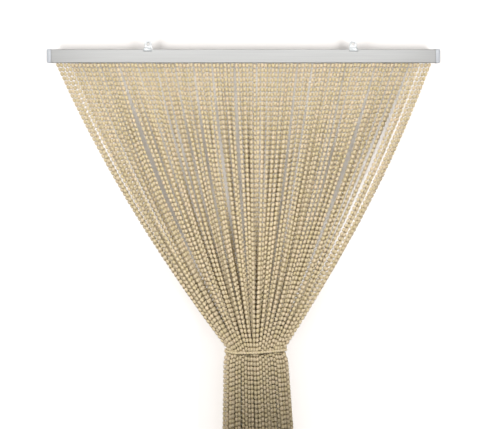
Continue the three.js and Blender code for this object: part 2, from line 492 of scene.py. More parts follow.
@dataclass(frozen=True, kw_only=True)
class GrainedFinish(Finish):
    """A finish of two near colours that a stretched noise mixes, with a matching grain."""

    second_colour: str
    pattern_size: Point = (9.0, 9.0, 9.0)
    mix_start: float = 0.3
    mix_end: float = 0.7
    grain_depth: float = 0.03
    grain_strength: float = 0.4
    grain_detail: float = 3.0
    roughness_spread: float = 0.06
    glow: float = 0.0
    glow_reach: float = 2.0
    glow_colours: Point = (1.0, 1.0, 1.0)

    def pattern(self, tree: NodeTree, shader: Node) -> None:
        """Mixes the colours and, in milky kinds, lets light spread under the surface.

        Args:
            tree: Tree of the material.
            shader: Shader of the material.
        """
        add = partial(add_node, tree)
        shader.inputs["Subsurface Weight"].default_value = self.glow
        shader.inputs["Subsurface Radius"].default_value = self.glow_colours
        shader.inputs["Subsurface Scale"].default_value = self.glow_reach * MM
        place = add("ShaderNodeTexCoord")
        scale = tuple(1 / (size * MM) for size in self.pattern_size)
        stretched = add("ShaderNodeMapping", {"Vector": (place, "Object"), "Scale": scale})
        noise = add(
            "ShaderNodeTexNoise",
            {"Vector": (stretched, "Vector"), "Scale": 1.0, "Detail": self.grain_detail},
        )
        share = add(
            "ShaderNodeMapRange",
            {"Value": (noise, "Fac"), "From Min": self.mix_start, "From Max": self.mix_end},
        )
        colour = add(
            "ShaderNodeMix",
            {
                "Factor_Float": (share, "Result"),
                "A_Color": linear(self.colour),
                "B_Color": linear(self.second_colour),
            },
            data_type="RGBA",
        )
        self.cover(tree, shader, colour, noise)


# Warm and cool beads are mixed along each strand, so that the whole looks like natural fibre
BEAD_FINISH = MouldedBeads(
    name="satin_moulded_bead_polypropylene",
    colour="#dcc9a4",
    roughness=0.6,
    ior=1.49,
    shades=("#ad9f78", "#b2a37f", "#b5a686", "#b6a78a", "#baa88b", "#bcae94"),
)
# Thin twisted thread that shows only as a dull spot between two beads
THREAD_FINISH = GrainedFinish(
    name="twisted_polyester_thread",
    colour="#b79c6f",
    roughness=0.7,
    second_colour="#a1865a",
    pattern_size=(0.6, 0.6, 1.5),
)
# Fine die lines along the rail under a satin skin, drawn wider than the real 0.1 mm so that they show
RAIL_FINISH = GrainedFinish(
    name="satin_anodised_aluminium",
    colour="#9e9e9d",
    roughness=0.7,
    metallic=0.35,
    second_colour="#989897",
    pattern_size=(160.0, 1.1, 1.1),
    grain_depth=0.02,
)
# Even and a little bluish beside the metal, with the faint clouds of a moulding
CAP_FINISH = GrainedFinish(
    name="moulded_pale_grey_abs", colour="#9b9ea3", roughness=0.45, ior=1.53, second_colour="#94979d"
)
# Lets some light through, so that its edges look soft
HANGER_FINISH = GrainedFinish(
    name="milky_moulded_polypropylene",
    colour="#929596",
    roughness=0.32,
    ior=1.49,
    second_colour="#8b8f90",
    pattern_size=(5.0, 5.0, 5.0),
    glow=0.35,
)
# Broad faint clouds on a dull pale ground
FLOOR_FINISH = GrainedFinish(
    name="matt_floor_paint",
    colour="#e4e4e2",
    roughness=0.7,
    second_colour="#dededc",
    pattern_size=(400.0, 400.0, 400.0),
)


# Rail and its fittings


@dataclass(frozen=True)
class Rail:
    """Extruded channel, open below, with a step along its top back edge."""

    node: str = "rail"
    wall: float = 1.4
    corner: float = 1.5
    slot: float = 9.6
    step_foot: float = 9.0
    step_depth: float = 2.1
    corner_steps: int = 8

    def section(self) -> Outline:
        """Draws the section in depth and height.

        Returns:
            The outline, round the outside from the slot and then round the inside of the channel.
        """
        low, high = node_box(self.node)
        radius, steps = self.corner, self.corner_steps
        middle = (low.y + high.y) / 2
        slot_front, slot_back = middle - self.slot / 2, middle + self.slot / 2
        floor = low.z + self.wall
        step_back = high.y - self.step_depth
        step_inside = step_back - self.wall
        shelf = self.step_foot - self.wall
        outside = [
            (slot_front, low.z),
            *arc((low.y + radius, low.z + radius), radius, 270, 180, steps),
            *arc((low.y + radius, high.z - radius), radius, 180, 90, steps),
            *arc((step_back - radius, high.z - radius), radius, 90, 0, steps),
            (step_back, self.step_foot),
            (high.y, self.step_foot),
            *arc((high.y - radius, low.z + radius), radius, 0, -90, steps),
            (slot_back, low.z),
        ]
        inside = [
            (slot_back, floor),
            (high.y - self.wall, floor),
            (high.y - self.wall, shelf),
            (step_inside, shelf),
            (step_inside, high.z - self.wall),
            (low.y + self.wall, high.z - self.wall),
            (low.y + self.wall, floor),
            (slot_front, floor),
        ]
        return outside + inside

    def build(self) -> None:
        """Makes the rail and dresses it in drawn metal."""
        low, high = node_box(self.node)
        section = self.section()
        piece = loft("rail_channel", [[(x, y, z) for y, z in section] for x in (high.x, low.x)])
        dress(piece, RAIL_FINISH.material())
        fit(piece, Slot.METAL, self.node)


@dataclass(frozen=True)
class EndCap:
    """Moulded cap over one end of the rail, with a spigot inside the channel."""

    rail: Rail
    side: Side
    width: float = 10.0
    corner: float = 3.0
    edge: float = 0.8
    inner_corner: float = 1.0
    edge_steps: int = 4
    corner_steps: int = 8
    spigot_foot: float = 4.0
    clearance: float = 0.3

    @property
    def node(self) -> str:
        """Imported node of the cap."""
        return f"end_cap_{self.side.value}"

    def span(self) -> tuple[float, float]:
        """Gives where the block that shows begins and ends along the rail."""
        low, high = node_box(self.node)
        return (low.x, low.x + self.width) if self.side is Side.LEFT else (high.x - self.width, high.x)

    def outline(self, inset: float) -> Outline:
        """Draws the face of the block, with round outer corners.

        Args:
            inset: How far the outline lies inside the block's sides.

        Returns:
            The outline in length and height, anticlockwise as the viewer sees it.
        """
        low, high = node_box(self.node)
        start, end = self.span()
        left, right = self.corner, self.inner_corner
        if self.side is Side.RIGHT:
            left, right = right, left
        corners = (
            (end - right, low.z + right, right, 270),
            (end - right, high.z - right, right, 360),
            (start + left, high.z - left, left, 450),
            (start + left, low.z + left, left, 540),
        )
        points = []
        for x, z, radius, turn in corners:
            points += arc((x, z), radius - inset, turn, turn + 90, self.corner_steps)
        return points

    def block(self) -> Object:
        """Makes the part that shows, with rounded front and back edges.

        Returns:
            The closed mesh object.
        """
        low, high = node_box(self.node)
        turns = [math.pi / 2 * k / self.edge_steps for k in range(self.edge_steps + 1)]
        rounding = [(self.edge * (1 - math.cos(t)), self.edge * (1 - math.sin(t))) for t in turns]
        levels = [(high.y - depth, inset) for depth, inset in rounding]
        levels += [(low.y + depth, inset) for depth, inset in reversed(rounding)]
        return loft("block", [[(x, y, z) for x, z in self.outline(inset)] for y, inset in levels])

    def spigot(self) -> Object:
        """Makes the tongue inside the channel, which runs a little into the block.

        Returns:
            The closed mesh object.
        """
        low, high = node_box(self.node)
        rail_low, rail_high = node_box(self.rail.node)
        start, end = self.span()
        left, right = (end, high.x) if self.side is Side.LEFT else (low.x, start)
        inside = self.rail.wall + self.clearance
        back = rail_high.y - self.rail.step_depth - inside
        return box_piece(
            "spigot",
            (left - self.edge, rail_low.y + inside, self.spigot_foot),
            (right + self.edge, back, rail_high.z - inside),
        )

    def build(self, finish: Material) -> None:
        """Makes the cap.

        Args:
            finish: Material of the cap.
        """
        piece = join(self.node + "_moulding", [self.block(), self.spigot()])
        dress(piece, finish)
        fit(piece, Slot.CAP, self.node)


@dataclass(frozen=True)
class Hanger:
    """Moulded saddle over the top of the rail that carries an upright eye."""

    rail: Rail
    side: Side
    wall: float = 1.8
    lip: float = 5.0
    clearance: float = 0.3
    eye_radius: float = 8.3
    eye_hole: float = 3.4
    eye_thickness: float = 2.6
    neck_turn: float = -17.2
    rounding: float = 0.5
    rounding_steps: int = 3
    arc_steps: int = 48
    side_steps: int = 4
    foot_steps: int = 8

    @property
    def node(self) -> str:
        """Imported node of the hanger."""
        return f"hanger_{self.side.value}"

    def saddle(self) -> Object:
        """Makes the clip that hooks over the rail.

        Returns:
            The closed mesh object.
        """
        low, high = node_box(self.node)
        rail_low, rail_high = node_box(self.rail.node)
        plate_foot = rail_high.z + self.clearance
        plate_top = plate_foot + self.wall
        lip_inside = rail_low.y - self.clearance
        lip_foot = rail_high.z - self.lip
        section = [
            (high.y, low.z),
            (high.y, plate_top),
            (low.y, plate_top),
            (low.y, lip_foot),
            (lip_inside, lip_foot),
            (lip_inside, plate_foot),
            (high.y - self.wall, plate_foot),
            (high.y - self.wall, low.z),
        ]
        clip = loft("saddle", [[(x, y, z) for y, z in section] for x in (low.x, high.x)])
        round_edges(clip, self.rounding, self.rounding_steps)
        return clip

    def eye(self) -> Object:
        """Makes the eye plate as a ring of sections round the hole.

        Returns:
            The closed mesh object.
        """
        low, high = node_box(self.node)
        _, rail_high = node_box(self.rail.node)
        middle = (low.x + high.x) / 2
        height = high.z - self.eye_radius
        half = (high.x - low.x) / 2
        foot = rail_high.z + self.clearance + self.wall / 2 - height
        top = arc((0, 0), self.eye_radius, self.neck_turn, 180 - self.neck_turn, self.arc_steps)
        left, right = (-half, foot), (half, foot)
        outline = top + straight(top[-1], left, self.side_steps)
        outline += straight(left, right, self.foot_steps)
        outline += straight(right, top[0], self.side_steps)[:-1]
        r, steps = self.rounding, self.rounding_steps
        back, front = high.y, high.y - self.eye_thickness
        rings = []
        for x, z in outline:
            reach = math.hypot(x, z)
            section = [
                *arc((self.eye_hole + r, front + r), r, 180, 270, steps),
                *arc((reach - r, front + r), r, 270, 360, steps),
                *arc((reach - r, back - r), r, 0, 90, steps),
                *arc((self.eye_hole + r, back - r), r, 90, 180, steps),
            ]
            rings.append([(middle + x / reach * out, y, height + z / reach * out) for out, y in section])
        return loft("eye", rings, joined=True)

    def build(self, finish: Material) -> None:
        """Makes the hanger.

        Args:
            finish: Material of the hanger.
        """
        piece = join(self.node + "_clip", [self.saddle(), self.eye()])
        dress(piece, finish)
        fit(piece, Slot.HANGER, self.node)


# Strands


@dataclass(frozen=True)
class Lock:
    """Neighbouring strands that run into one column of the waist.

    strands is their number and lean is how far the lock swings sideways half-way down.
    """

    strands: int
    lean: float


@dataclass(frozen=True)
class TailLevel:
    """How the bundle lies at one drop below the grip of the tie."""

    drop: float
    column: float
    shift: float
    layer: float
    wander: float


@dataclass(frozen=True)
class Strand:
    """Place of one strand on the header, and in the columns and layers of the waist."""

    lock_x: float
    lean: float
    offset: float
    column: float
    layer: float
    wander: tuple[float, float]
    sway: float
    side: int
    phase: float
    stretch: float
    tint: float


# Locks from left to right
LOCKS = tuple(
    Lock(strands, lean)
    for strands, lean in (
        *((3, 0.0), (4, -1.0), (5, -2.7), (5, -2.3), (5, 3.7), (5, 1.2), (5, -0.8), (5, -0.8)),
        *((5, -1.2), (6, -1.1), (6, 1.2), (6, -0.3), (5, -2.9), (4, -2.1), (5, -0.2), (4, -2.4)),
        *((4, -1.3), (4, -3.2), (5, -0.8), (4, -3.0), (3, 2.0), (3, 0.7)),
    )
)
TAIL_LEVELS = (
    TailLevel(drop=0, column=6.3, shift=0.0, layer=11.0, wander=0.0),
    TailLevel(drop=20, column=6.8, shift=0.6, layer=11.1, wander=0.3),
    TailLevel(drop=175, column=7.5, shift=5.5, layer=11.3, wander=1.0),
)
# Openings below the tie: number of columns to the left of each, and its width
TAIL_PARTINGS = ((6, 2.6), (10, 2.2), (13, 1.2), (17, 1.2))


@dataclass(frozen=True)
class StrandRow:
    """The row of strands: how each hangs from the header through the waist to its free end.

    bunch and root_bunch draw the strands of a lock together, half-way down and just below the rail.
    interleave sets every second strand of a lock forward there and the next one back. turn_every picks
    the locks whose strands are layered the other way round, and closed_behind is the share by which the
    back of the bundle closes where its front parts.
    """

    rail: Rail
    pitch: float = 8.6
    width: float = 8.15
    length: float = 2073.0
    clearance: float = 0.3
    header_thickness: float = 3.0
    header_width: float = 13.0
    header_overhang: float = 3.0
    tie_drop: float = 662.0
    tie_grip: float = 5.5
    waist_x: float = 28.0
    waist_y: float = -43.5
    even_share: float = 0.73
    bunch: float = 0.16
    halfway_opening: float = 0.275
    stagger: float = 0.25
    closed_behind: float = 0.6
    turn_every: int = 3
    wander_x: float = 0.6
    wander_y: float = 0.9
    sway: float = 2.8
    sway_onset: float = 2.2
    interleave: float = 2.2
    root_bunch: float = 0.035
    root_reach: float = 0.02
    phase: float = 1.0
    stretch: float = 0.012
    column_y: float = 1.0
    squeeze: float = 0.035
    squeeze_reach: float = 12.0
    seed: int = 5
    fan_steps: int = 40
    tail_step: float = 12.5

    @property
    def row_y(self) -> float:
        """Depth of the row in the middle of the rail."""
        low, high = node_box(self.rail.node)
        return (low.y + high.y) / 2

    @property
    def root_z(self) -> float:
        """Height of the middle of the header."""
        low, _ = node_box(self.rail.node)
        return low.z + self.rail.wall + self.clearance + self.header_thickness / 2

    @property
    def tie_z(self) -> float:
        """Height of the tie."""
        low, _ = node_box(self.rail.node)
        return low.z - self.tie_drop

    def gather(self, t: float) -> float:
        """Share of the way across to the waist at share t of the way down."""
        return self.even_share * t + (1 - self.even_share) * t * t

    def deepen(self, t: float) -> float:
        """Share of the way out to the final depth at share t of the way down."""
        return math.sin(0.5 * math.pi * t)

    def opening(self, t: float) -> float:
        """How far the locks stand open, nothing at the header and at the waist."""
        return 2 * (1 - t) * (self.deepen(t) - self.gather(t))

    def drawn_in(self, height: float) -> float:
        """Share of its spread that the bundle keeps at a height, least where the tie grips it."""
        return 1 - self.squeeze * math.exp(-(((height - self.tie_z) / self.squeeze_reach) ** 2))

    def lay_out(self) -> list[Strand]:
        """Gives every strand its lock, column and layer.

        Returns:
            The strands from left to right.
        """
        chance = random.Random(self.seed)
        middle = (sum(lock.strands for lock in LOCKS) - 1) / 2
        last_column = len(LOCKS) - 1
        strands = []
        for column, lock in enumerate(LOCKS):
            parted = sum(
                width * ((column >= left) - column / last_column) for left, width in TAIL_PARTINGS
            )
            first, count = len(strands), lock.strands
            lock_x = (first + (count - 1) / 2 - middle) * self.pitch
            stagger = self.stagger if (column + count) % 2 else -self.stagger
            turned = column % self.turn_every == 1
            for k in range(count):
                order = (k - 1) // 2 if k % 2 else count // 2 + k // 2
                layer = count - 1 - order if turned else order
                index = first + k
                along = scatter(index, GOLDEN)
                across = scatter(index, GOLDEN * GOLDEN)
                depth = layer - (count - 1) / 2 + stagger
                opened = parted if depth < 0 else -self.closed_behind * parted
                strands.append(
                    Strand(
                        lock_x=lock_x,
                        lean=lock.lean,
                        offset=(index - middle) * self.pitch - lock_x,
                        column=column - last_column / 2,
                        layer=depth,
                        wander=(
                            self.wander_x * along + opened,
                            self.wander_y * across + self.column_y * scatter(column, GOLDEN),
                        ),
                        sway=self.sway * chance.uniform(-1, 1),
                        side=-1 if (k % 2 == 1) != turned else 1,
                        phase=self.phase * chance.uniform(-1, 1),
                        stretch=1 + self.stretch * chance.uniform(-1, 1),
                        tint=(along + 1) / 2,
                    )
                )
        return strands

    def tail_point(self, strand: Strand, drop: float) -> Vector:
        """Finds the middle of a strand in the waist or below it.

        Args:
            strand: The strand.
            drop: Distance below the grip of the tie.

        Returns:
            The point in millimetres.
        """
        above = [level for level in TAIL_LEVELS if level.drop <= drop][-1]
        below = next((level for level in TAIL_LEVELS if level.drop > drop), above)
        span = below.drop - above.drop
        share = (drop - above.drop) / span if span else 0.0
        shift = lerp(above.shift, below.shift, share)
        wander = lerp(above.wander, below.wander, share)
        column = strand.column * lerp(above.column, below.column, share)
        layer = strand.layer * lerp(above.layer, below.layer, share)
        height = self.tie_z - self.tie_grip - drop
        drawn = self.drawn_in(height)
        x = self.waist_x + shift + column * drawn + wander * strand.wander[0]
        y = self.waist_y + layer * drawn + wander * strand.wander[1]
        return Vector((x, y, height))

    def fan_point(self, strand: Strand, t: float) -> Vector:
        """Finds the middle of a strand between the header and the waist.

        Args:
            strand: The strand.
            t: Share of the way down.

        Returns:
            The point in millimetres.
        """
        waist = self.tail_point(strand, 0)
        begun = min(1.0, t / self.root_reach)
        drawn = self.gather(t) + self.bunch * self.opening(t) + self.root_bunch * begun * (1 - t) ** 2
        open_share = self.opening(t) / self.halfway_opening
        settled = min(1.0, self.sway_onset * self.deepen(t))
        sway = (strand.lean + strand.sway * settled) * open_share
        root_y = self.row_y + self.interleave * strand.side * begun
        x = lerp(strand.lock_x, waist.x, self.gather(t)) + strand.offset * (1 - drawn) + sway
        y = lerp(root_y, waist.y, self.deepen(t))
        return Vector((x, y, lerp(self.root_z, self.tie_z + self.tie_grip, t)))

    def path(self, strand: Strand) -> list[Vector]:
        """Draws the middle line of a strand.

        Args:
            strand: The strand.

        Returns:
            The points from its root to its free end.
        """
        line = [self.fan_point(strand, k / self.fan_steps) for k in range(self.fan_steps + 1)]
        drop = 0.0
        while drop <= TAIL_LEVELS[-1].drop:
            line.append(self.tail_point(strand, drop))
            drop += self.tail_step
        line.append(line[-1] - Vector((0, 0, self.length - length(line))))
        return line

    def bead_line(self, strand: Strand) -> list[Vector]:
        """Draws the line that carries the beads, begun at the strand's own phase."""
        line = self.path(strand)
        return [line[0] + Vector((0, 0, strand.phase)), *line[1:]]

    def tie_path(self, reach: float, slope: float, steps: int) -> list[Vector]:
        """Draws the ring that lies round the outermost strands of the waist.

        Args:
            reach: Distance from the strands' outermost corners to the middle of the tie.
            slope: Rise of the tie for each step to the right.
            steps: Number of points.

        Returns:
            The points of the closed ring.
        """
        half = self.width / 2
        corners = []
        for strand in self.lay_out():
            point = self.tail_point(strand, 0)
            for x, y in ((half, 0), (0, half), (-half, 0), (0, -half)):
                corners.append(Vector((point.x + x, point.y + y)))
        ring = []
        for step in range(steps):
            turn = 2 * math.pi * step / steps
            out = Vector((math.cos(turn), math.sin(turn)))
            spot = max(corners, key=out.dot) + reach * out
            ring.append(Vector((spot.x, spot.y, self.tie_z + slope * (spot.x - self.waist_x))))
        return ring


@dataclass(frozen=True)
class BeadForm:
    """One moulded bead, an oval barrel with its thread hole along Z."""

    width: float = 8.15
    length: float = 10.95
    sides: int = 8
    rings: tuple[float, ...] = (-0.68, 0.0, 0.68)
    fullness: float = 2.7

    def build(self) -> Object:
        """Makes the bead of a few dozen faces, marked from 0 at its middle to 1 at its ends.

        Returns:
            The closed mesh object.
        """
        half = self.length / 2
        points = [(0.0, 0.0, -half)]
        marks = [1.0]
        for share in self.rings:
            radius = self.width / 2 * (1 - abs(share) ** self.fullness) ** (1 / self.fullness)
            for x, y in arc((0, 0), radius, 0, 360, self.sides)[:-1]:
                points.append((x, y, half * share))
                marks.append(abs(share))
        top = len(points)
        last = top - self.sides
        points.append((0.0, 0.0, half))
        marks.append(1.0)
        faces = []
        for k in range(self.sides):
            after = (k + 1) % self.sides
            faces.append((0, 1 + after, 1 + k))
            for row in range(len(self.rings) - 1):
                near = 1 + row * self.sides
                far = near + self.sides
                faces.append((near + k, near + after, far + after, far + k))
            faces.append((last + k, last + after, top))
        bead = new_object("bead_form", points, faces)
        bead.data.shade_smooth()
        mark = bead.data.attributes.new(Mark.END.value, "FLOAT", "POINT")
        mark.data.foreach_set("value", marks)
        return bead


class LineTree:
    """Geometry node tree that dresses every line of a mesh, with named inputs for its sizes."""

    NAME = ""
    INPUTS: dict[str, str] = {}

    def __init__(self) -> None:
        """Builds the tree, from the lines to a piece in its finish."""
        self.tree = bpy.data.node_groups.new(self.NAME, "GeometryNodeTree")
        self.identifiers = {}
        kinds = {"Lines": "NodeSocketGeometry", **self.INPUTS, "Finish": "NodeSocketMaterial"}
        for name, kind in kinds.items():
            socket = self.tree.interface.new_socket(name, in_out="INPUT", socket_type=kind)
            self.identifiers[name] = socket.identifier
        self.tree.interface.new_socket("Result", in_out="OUTPUT", socket_type="NodeSocketGeometry")
        add = partial(add_node, self.tree)
        ports = add("NodeGroupInput")
        given = {name: (ports, identifier) for name, identifier in self.identifiers.items()}
        lines = add("GeometryNodeMeshToCurve", {"Mesh": given["Lines"]})
        grown = self.grow((lines, "Curve"), given)
        real = add("GeometryNodeRealizeInstances", {"Geometry": grown})
        dressed = add(
            "GeometryNodeSetMaterial", {"Geometry": (real, "Geometry"), "Material": given["Finish"]}
        )
        result = add("NodeGroupOutput")
        self.tree.links.new(dressed.outputs["Geometry"], result.inputs["Result"])

    def grow(self, lines: Feed, given: dict[str, Feed]) -> Feed:
        """Adds the nodes that turn the lines into the piece."""
        raise NotImplementedError

    def dress(self, lines: Object, sizes: dict[str, Any]) -> None:
        """Turns a mesh of lines into a plain mesh of the piece.

        Args:
            lines: Mesh object of lines.
            sizes: Values of the tree's inputs.
        """
        modifier = lines.modifiers.new(self.NAME, "NODES")
        modifier.node_group = self.tree
        for name, value in sizes.items():
            modifier[self.identifiers[name]] = value
        make_plain(lines)


class BeadTree(LineTree):
    """Threads beads on the lines at an even pitch, each a little turned and of its own tint."""

    NAME = "beads_on_lines"
    INPUTS = {
        "Bead": "NodeSocketObject",
        "First": "NodeSocketFloat",
        "Last": "NodeSocketFloat",
        "Pitch": "NodeSocketFloat",
        "Tilt": "NodeSocketVector",
        "Smallest": "NodeSocketFloat",
        "Largest": "NodeSocketFloat",
        "Seed": "NodeSocketInt",
    }

    def grow(self, lines: Feed, given: dict[str, Feed]) -> Feed:
        """Places the beads.

        Args:
            lines: Output with the lines as curves.
            given: Outputs of the tree's inputs by name.

        Returns:
            The output with the beads as instances.
        """
        add = partial(add_node, self.tree)
        trimmed = add(
            "GeometryNodeTrimCurve",
            {"Curve": lines, "Start_001": given["First"], "End_001": given["Last"]},
            mode="LENGTH",
        )
        stretch = add("GeometryNodeInputNamedAttribute", {"Name": Mark.STRETCH.value}, data_type="FLOAT")
        pitch = add(
            "ShaderNodeMath",
            {"Value": given["Pitch"], "Value_001": (stretch, "Attribute")},
            operation="MULTIPLY",
        )
        spots = add(
            "GeometryNodeCurveToPoints",
            {"Curve": (trimmed, "Curve"), "Length": (pitch, "Value")},
            mode="LENGTH",
        )
        bead = add("GeometryNodeObjectInfo", {"Object": given["Bead"]})
        size = add(
            "FunctionNodeRandomValue",
            {"Min_001": given["Smallest"], "Max_001": given["Largest"], "Seed": given["Seed"]},
            data_type="FLOAT",
        )
        beads = add(
            "GeometryNodeInstanceOnPoints",
            {
                "Points": (spots, "Points"),
                "Instance": (bead, "Geometry"),
                "Rotation": (spots, "Rotation"),
                "Scale": (size, "Value_001"),
            },
        )
        back = add("ShaderNodeVectorMath", {"Vector": given["Tilt"], "Scale": -1.0}, operation="SCALE")
        turn = add(
            "FunctionNodeRandomValue",
            {"Min": (back, "Vector"), "Max": given["Tilt"], "Seed": given["Seed"]},
            data_type="FLOAT_VECTOR",
        )
        turned = add(
            "GeometryNodeRotateInstances",
            {"Instances": (beads, "Instances"), "Rotation": (turn, "Value")},
        )
        share = add("FunctionNodeRandomValue", {"Seed": given["Seed"]}, data_type="FLOAT")
        tinted = add(
            "GeometryNodeStoreNamedAttribute",
            {"Geometry": (turned, "Instances"), "Name": Mark.TINT.value, "Value": (share, "Value_001")},
            data_type="FLOAT",
            domain="INSTANCE",
        )
        return tinted, "Geometry"


class ThreadTree(LineTree):
    """Draws a thin thread along the lines."""

    NAME = "thread_on_lines"
    INPUTS = {"Radius": "NodeSocketFloat", "Sides": "NodeSocketInt"}

    def grow(self, lines: Feed, given: dict[str, Feed]) -> Feed:
        """Draws the thread.

        Args:
            lines: Output with the lines as curves.
            given: Outputs of the tree's inputs by name.

        Returns:
            The output with the closed thread.
        """
        add = partial(add_node, self.tree)
        section = add(
            "GeometryNodeCurvePrimitiveCircle", {"Resolution": given["Sides"], "Radius": given["Radius"]}
        )
        thread = add(
            "GeometryNodeCurveToMesh",
            {"Curve": lines, "Profile Curve": (section, "Curve"), "Fill Caps": True},
        )
        return thread, "Mesh"


@dataclass(frozen=True)
class Line:
    """The middle line of a strand, with its tint and how its beads are spaced beside the plain pitch."""

    path: list[Vector]
    tint: float = 1.0
    stretch: float = 1.0


def line_mesh(name: str, lines: Sequence[Line], closed: bool = False) -> Object:
    """Makes a mesh of lines that carry their marks.

    Args:
        name: Name of the piece.
        lines: The lines.
        closed: Whether each line runs back to its first point.

    Returns:
        The mesh object.
    """
    points, edges = [], []
    marks = {Mark.STRAND: [], Mark.STRETCH: []}
    for line in lines:
        first = len(points)
        points += line.path
        marks[Mark.STRAND] += [line.tint] * len(line.path)
        marks[Mark.STRETCH] += [line.stretch] * len(line.path)
        edges += [(k, k + 1) for k in range(first, len(points) - 1)]
        if closed:
            edges.append((len(points) - 1, first))
    piece = new_object(name, points, edges=edges)
    for mark, values in marks.items():
        piece.data.attributes.new(mark.value, "FLOAT", "POINT").data.foreach_set("value", values)
    return piece


@dataclass(frozen=True)
class Beading:
    """What threads the beads: the trees, one bead and the finishes."""

    bead_tree: BeadTree
    thread_tree: ThreadTree
    bead: Object
    bead_finish: Material
    thread_finish: Material
    pitch: float = 11.0
    tilt: float = 0.04
    smallest: float = 0.97
    thread_radius: float = 0.7
    thread_sides: int = 3

    def thread_beads(
        self,
        lines: Object,
        first: float,
        last: float,
        seed: int,
        scale: float = 1.0,
        pitch: float | None = None,
    ) -> None:
        """Turns a mesh of lines into beads.

        Args:
            lines: Mesh object of lines.
            first: Distance from a line's start to its first bead.
            last: Distance from a line's start that no bead passes.
            seed: Seed of the tints and turns.
            scale: Size of the largest bead beside the plain one.
            pitch: Distance from bead to bead, or nothing for that of the strands.
        """
        sizes = {
            "Bead": self.bead,
            "First": first * MM,
            "Last": last * MM,
            "Pitch": (pitch or self.pitch) * MM,
            "Tilt": (self.tilt, self.tilt, math.pi),
            "Smallest": scale * self.smallest,
            "Largest": scale,
            "Seed": seed,
            "Finish": self.bead_finish,
        }
        self.bead_tree.dress(lines, sizes)

    def draw_thread(self, lines: Object) -> None:
        """Turns a mesh of lines into thread."""
        sizes = {"Radius": self.thread_radius * MM, "Sides": self.thread_sides}
        self.thread_tree.dress(lines, {**sizes, "Finish": self.thread_finish})


@dataclass(frozen=True)
class BeadCurtain:
    """All strands as threaded beads, their threads and the header that holds them."""

    row: StrandRow
    node: str = "curtain"
    first_bead: float = 9.7
    groups: int = 5
    seed: int = 7
    header_rounding: float = 0.5

    def build_header(self, finish: Material) -> None:
        """Makes the strip inside the rail that the strands are fixed to.

        Args:
            finish: Material of the strip.
        """
        row = self.row
        count = len(row.lay_out())
        reach = (count - 1) * row.pitch / 2 + row.width / 2 + row.header_overhang
        half = Vector((reach, row.header_width / 2, row.header_thickness / 2))
        middle = Vector((0, row.row_y, row.root_z))
        strip = box_piece("header_strip", middle - half, middle + half)
        round_edges(strip, self.header_rounding)
        dress(strip, finish)
        fit(strip, Slot.BEAD, self.node)

    def build(self, beading: Beading) -> None:
        """Makes the strands in groups from left to right, and the threads that carry them.

        Args:
            beading: What threads the beads.
        """
        strands = self.row.lay_out()
        lines = [Line(self.row.bead_line(strand), strand.tint, strand.stretch) for strand in strands]
        for group in range(self.groups):
            first = round(group * len(strands) / self.groups)
            last = round((group + 1) * len(strands) / self.groups)
            piece = line_mesh(f"bead_strands_{group + 1}", lines[first:last])
            beading.thread_beads(piece, self.first_bead, self.row.length, self.seed + group)
            fit(piece, Slot.BEAD, self.node)
        threads = line_mesh("strand_threads", [Line(self.row.path(strand)) for strand in strands])
        beading.draw_thread(threads)
        fit(threads, Slot.BEAD, self.node)


@dataclass(frozen=True)
class BeadTie:
    """One strand of beads laid round the waist."""

    row: StrandRow
    node: str = "tie"
    reach: float = 1.3
    slope: float = 0.036
    steps: int = 72
    scale: float = 0.86
    pitch: float = 6.6
    seed: int = 31

    def build(self, beading: Beading) -> None:
        """Makes the beads and the thread of the tie.

        Args:
            beading: What threads the beads.
        """
        path = self.row.tie_path(self.reach, self.slope, self.steps)
        round_trip = length(path + path[:1])
        pitch = round_trip / round(round_trip / self.pitch)
        beads = line_mesh("tie_beads", [Line(path)], closed=True)
        beading.thread_beads(beads, 0.0, round_trip - pitch / 2, self.seed, self.scale, pitch)
        fit(beads, Slot.BEAD, self.node)
        thread = line_mesh("tie_thread", [Line(path)], closed=True)
        beading.draw_thread(thread)
        fit(thread, Slot.BEAD, self.node)


# Stage


@dataclass(frozen=True)
class Lamp:
    """A soft white lamp aimed at a point, with its power in watts, or watts a square metre for daylight."""

    name: str
    place: Point
    aim: Point
    power: float
    lit: Lit = Lit.CURTAIN

    KIND: ClassVar[str]

    def form(self) -> dict[str, Any]:
        """Gives the size and beam of the light in Blender's terms."""
        raise NotImplementedError

    def receivers(self) -> Collection:
        """Lists what the lamp lights, or for the curtain what it leaves dark.

        Returns:
            The collection of stage pieces.
        """
        listed = bpy.data.collections.new(self.name)
        for piece in (Lit.WALL, Lit.FLOOR):
            if self.lit in (piece, Lit.CURTAIN):
                listed.objects.link(bpy.data.objects[piece.value])
        if self.lit is Lit.CURTAIN:
            for entry in listed.collection_objects:
                entry.light_linking.link_state = "EXCLUDE"
        return listed

    def build(self) -> None:
        """Hangs the lamp."""
        light = bpy.data.lights.new(self.name, self.KIND)
        light.energy = self.power
        for name, value in self.form().items():
            setattr(light, name, value)
        lamp = bpy.data.objects.new(self.name, light)
        lamp.light_linking.receiver_collection = self.receivers()
        lamp.location = Vector(self.place) * MM
        way = Vector(self.aim) - Vector(self.place)
        lamp.rotation_euler = way.to_track_quat("-Z", "Y").to_euler()
        bpy.context.scene.collection.objects.link(lamp)


@dataclass(frozen=True, kw_only=True)
class SoftBox(Lamp):
    """A large flat lamp, with its beam's spread in degrees."""

    width: float
    height: float
    spread: float = 180.0

    KIND: ClassVar[str] = "AREA"

    def form(self) -> dict[str, Any]:
        """Gives the rectangle and its beam."""
        size = {"shape": "RECTANGLE", "size": self.width * MM, "size_y": self.height * MM}
        return {**size, "spread": math.radians(self.spread)}


